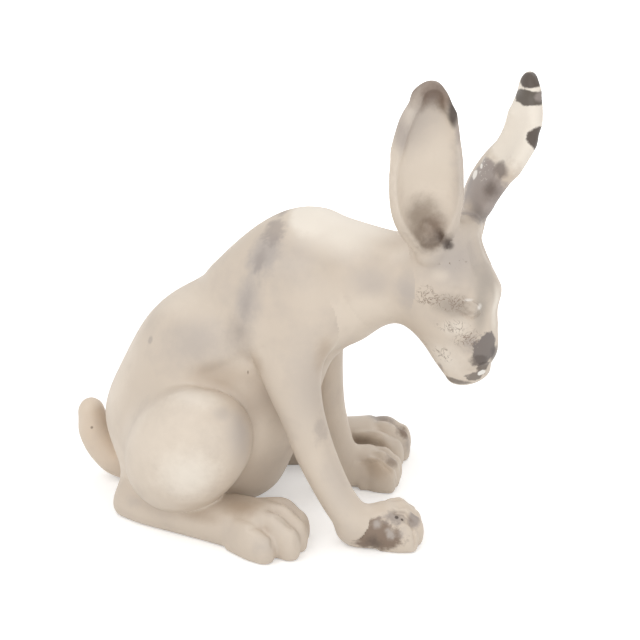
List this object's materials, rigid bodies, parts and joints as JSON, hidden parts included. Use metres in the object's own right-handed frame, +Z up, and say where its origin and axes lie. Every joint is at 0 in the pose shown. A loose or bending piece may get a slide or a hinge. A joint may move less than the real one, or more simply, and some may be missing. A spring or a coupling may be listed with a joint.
{
  "type": "ceramic rabbit figurine",
  "caption": "Seated long-eared rabbit figurine in smoke-marked white ceramic, head bent down, resting flat on its paws and feet",
  "frame": {"origin": "on the ground, under the middle of the whole figure", "axes": "+X the way the rabbit faces, +Y its left side, +Z up"},
  "size_m": [0.2888, 0.187, 0.284],
  "materials": {
    "clay_hindquarters": "burnished off-white ceramic with soft grey smoke marks, no glaze",
    "clay_forequarters": "burnished off-white ceramic with a mauve-grey smoke band over the shoulder",
    "clay_neck": "burnished off-white ceramic",
    "clay_head": "burnished off-white ceramic with fine dark crackle and a dark smoked nose",
    "clay_ear_right": "burnished off-white ceramic, smoked brown-grey at the tip and inside the bowl",
    "clay_ear_left": "burnished off-white ceramic with dark smoke bands at the tip and root",
    "clay_eyes": "burnished off-white ceramic",
    "clay_forelegs": "burnished off-white ceramic with soft grey smoke marks",
    "clay_forepaws": "burnished off-white ceramic, smoked dark grey between the toes",
    "clay_haunches": "burnished off-white ceramic with soft grey smoke marks",
    "clay_hind_feet": "burnished off-white ceramic, a little sandier towards the soles",
    "clay_tail": "burnished off-white ceramic"
  },
  "bodies": {
    "root": {"hindquarters": "clay_hindquarters", "forequarters": "clay_forequarters", "neck": "clay_neck", "head": "clay_head", "ear_right": "clay_ear_right", "ear_left": "clay_ear_left", "eye_right": "clay_eyes", "eye_left": "clay_eyes", "foreleg_right": "clay_forelegs", "foreleg_left": "clay_forelegs", "forepaw_right": "clay_forepaws", "forepaw_left": "clay_forepaws", "haunch_right": "clay_haunches", "haunch_left": "clay_haunches", "hind_foot_right": "clay_hind_feet", "hind_foot_left": "clay_hind_feet", "tail": "clay_tail"}
  },
  "joints": []
}
